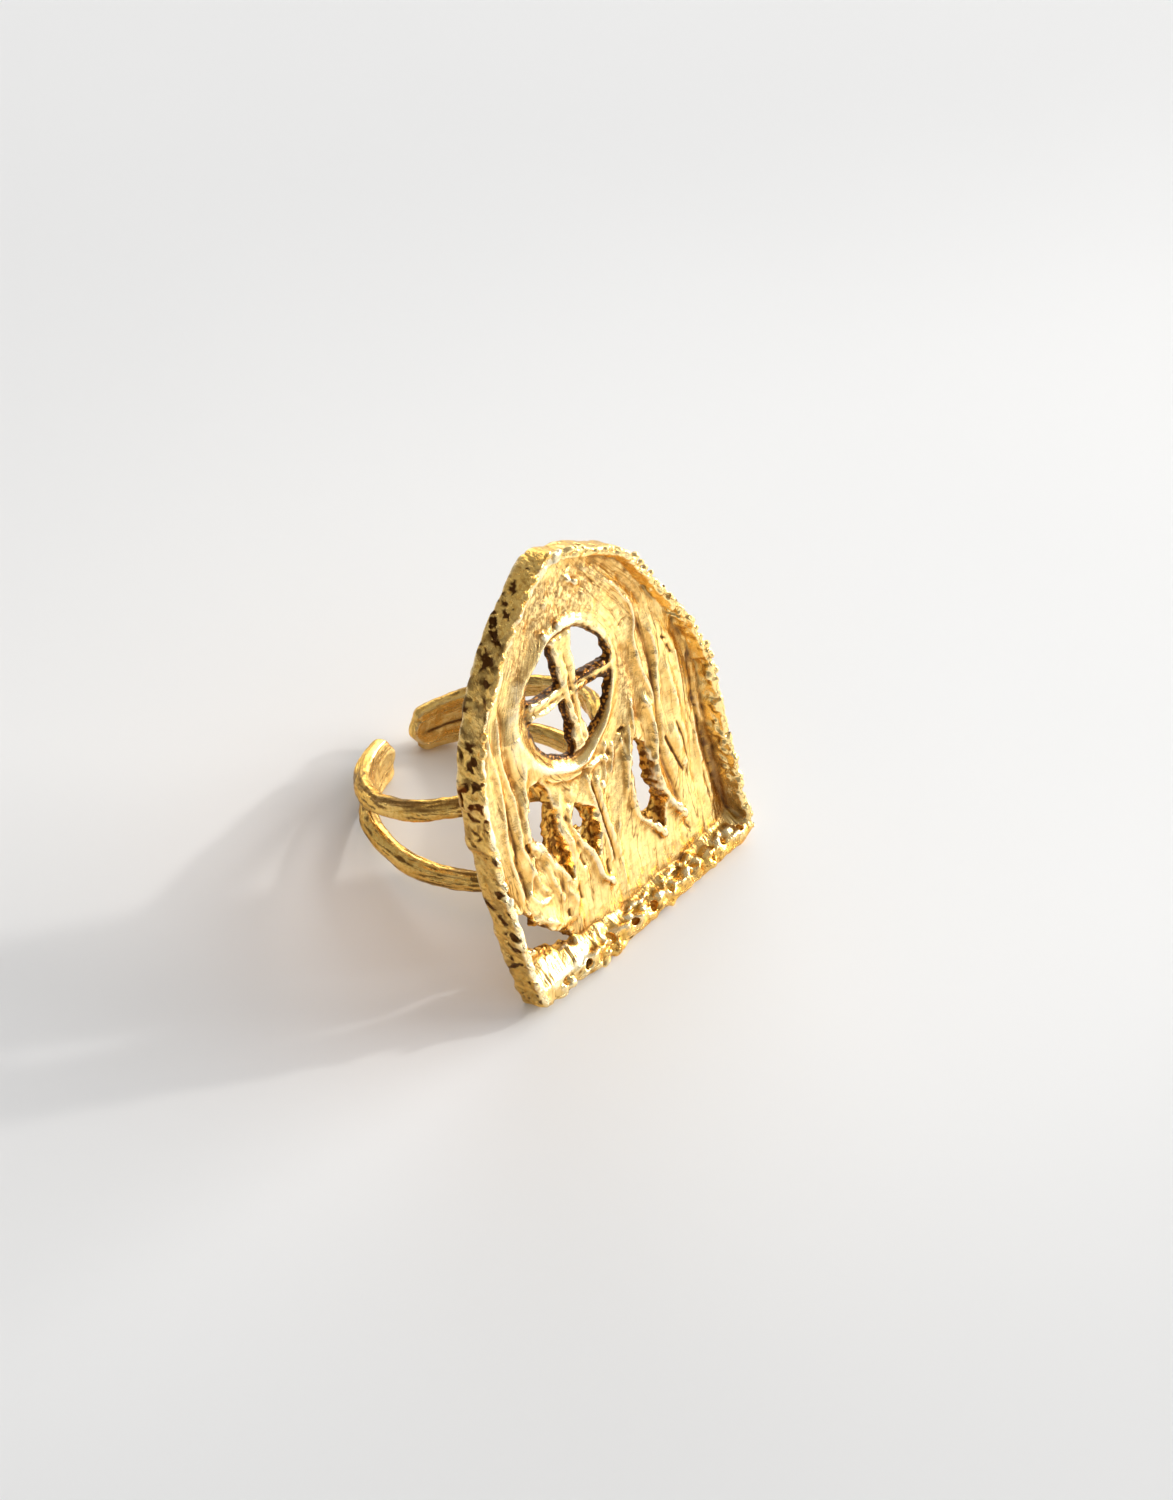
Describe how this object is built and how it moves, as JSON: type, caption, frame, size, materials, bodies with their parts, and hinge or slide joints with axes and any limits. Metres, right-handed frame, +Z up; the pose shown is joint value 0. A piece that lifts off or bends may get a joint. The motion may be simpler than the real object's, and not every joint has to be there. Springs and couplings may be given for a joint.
{
  "type": "open adjustable ring with a house-shaped face",
  "caption": "Open adjustable ring in gold-plated metal: tall house-shaped tray face with a round window and drip slots, on a split double-wire shank.",
  "frame": {"origin": "middle of the worn flat under the face's base edge, on the surface the ring rests on", "axes": "+Z up from that surface, the face looks towards -Y and leans back, +X to the right seen from its front"},
  "size_m": [0.0305, 0.0266, 0.0337],
  "materials": {
    "gold_plate": "cast and gold plated, satin ground with bright ridges and dark tarnish in the hollows"
  },
  "bodies": {
    "root": {"ring": "gold_plate"}
  },
  "joints": []
}
